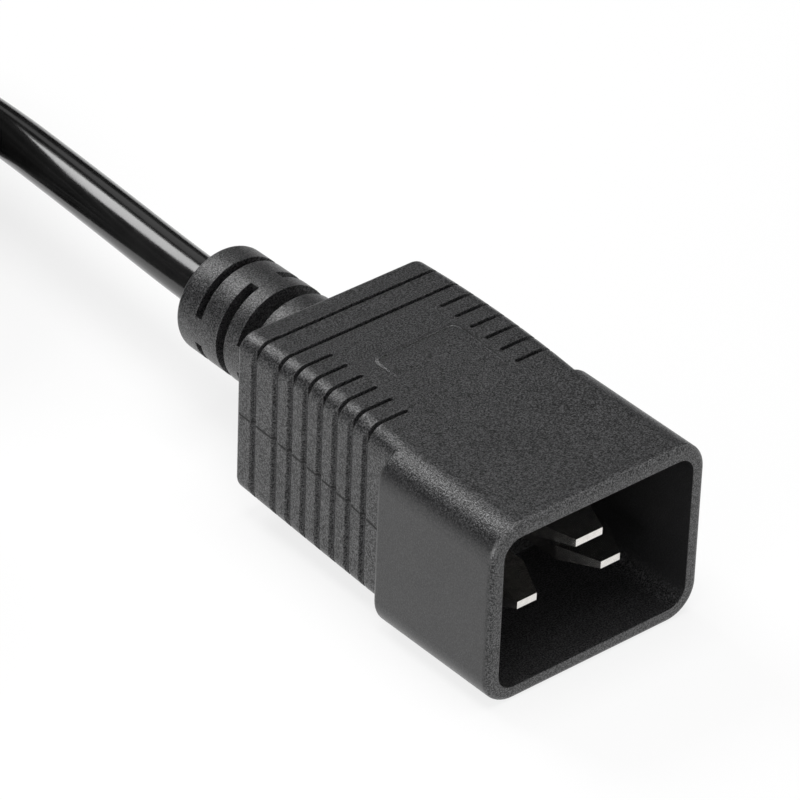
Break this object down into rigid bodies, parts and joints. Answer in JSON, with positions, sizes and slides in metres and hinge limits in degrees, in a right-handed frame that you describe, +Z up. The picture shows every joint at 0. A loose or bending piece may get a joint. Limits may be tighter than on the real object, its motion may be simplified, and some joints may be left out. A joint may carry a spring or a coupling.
{
  "type": "c20 power plug",
  "caption": "Moulded C20 power plug on a round cord: open rectangular shroud around three flat pins, grooved grip, slotted strain relief; spare cord coiled, C19 connector at the far end.",
  "frame": {"origin": "middle of the plug's length and width, on the surface that the plug's shroud stands on", "axes": "+Y from the open mating face towards the cord exit, +Z up with the earth pin uppermost, +X across the width"},
  "size_m": [0.0932, 0.1981, 0.044],
  "materials": {
    "pvc": "matte, fine spark texture",
    "carrier": "smooth",
    "nickel": "bright nickel plate",
    "contact": "satin",
    "copper": "bright",
    "line_insulation": "smooth",
    "neutral_insulation": "smooth",
    "earth_insulation": "smooth",
    "jacket": "smooth glossy PVC",
    "tie": "woven hook and loop"
  },
  "bodies": {
    "root": {"plug_overmould": "pvc", "pin_carrier": "carrier", "line_pin": "nickel", "neutral_pin": "nickel", "earth_pin": "nickel", "line_core": "line_insulation", "neutral_core": "neutral_insulation", "earth_core": "earth_insulation", "line_strands": "copper", "neutral_strands": "copper", "earth_strands": "copper", "cord": "jacket", "cord_coil": "jacket", "cord_tail": "jacket", "coil_tie": "tie", "connector_overmould": "pvc", "contact_carrier": "carrier", "line_contact": "contact", "neutral_contact": "contact", "earth_contact": "contact", "line_connector_core": "line_insulation", "neutral_connector_core": "neutral_insulation", "earth_connector_core": "earth_insulation", "line_connector_strands": "copper", "neutral_connector_strands": "copper", "earth_connector_strands": "copper"}
  },
  "joints": []
}
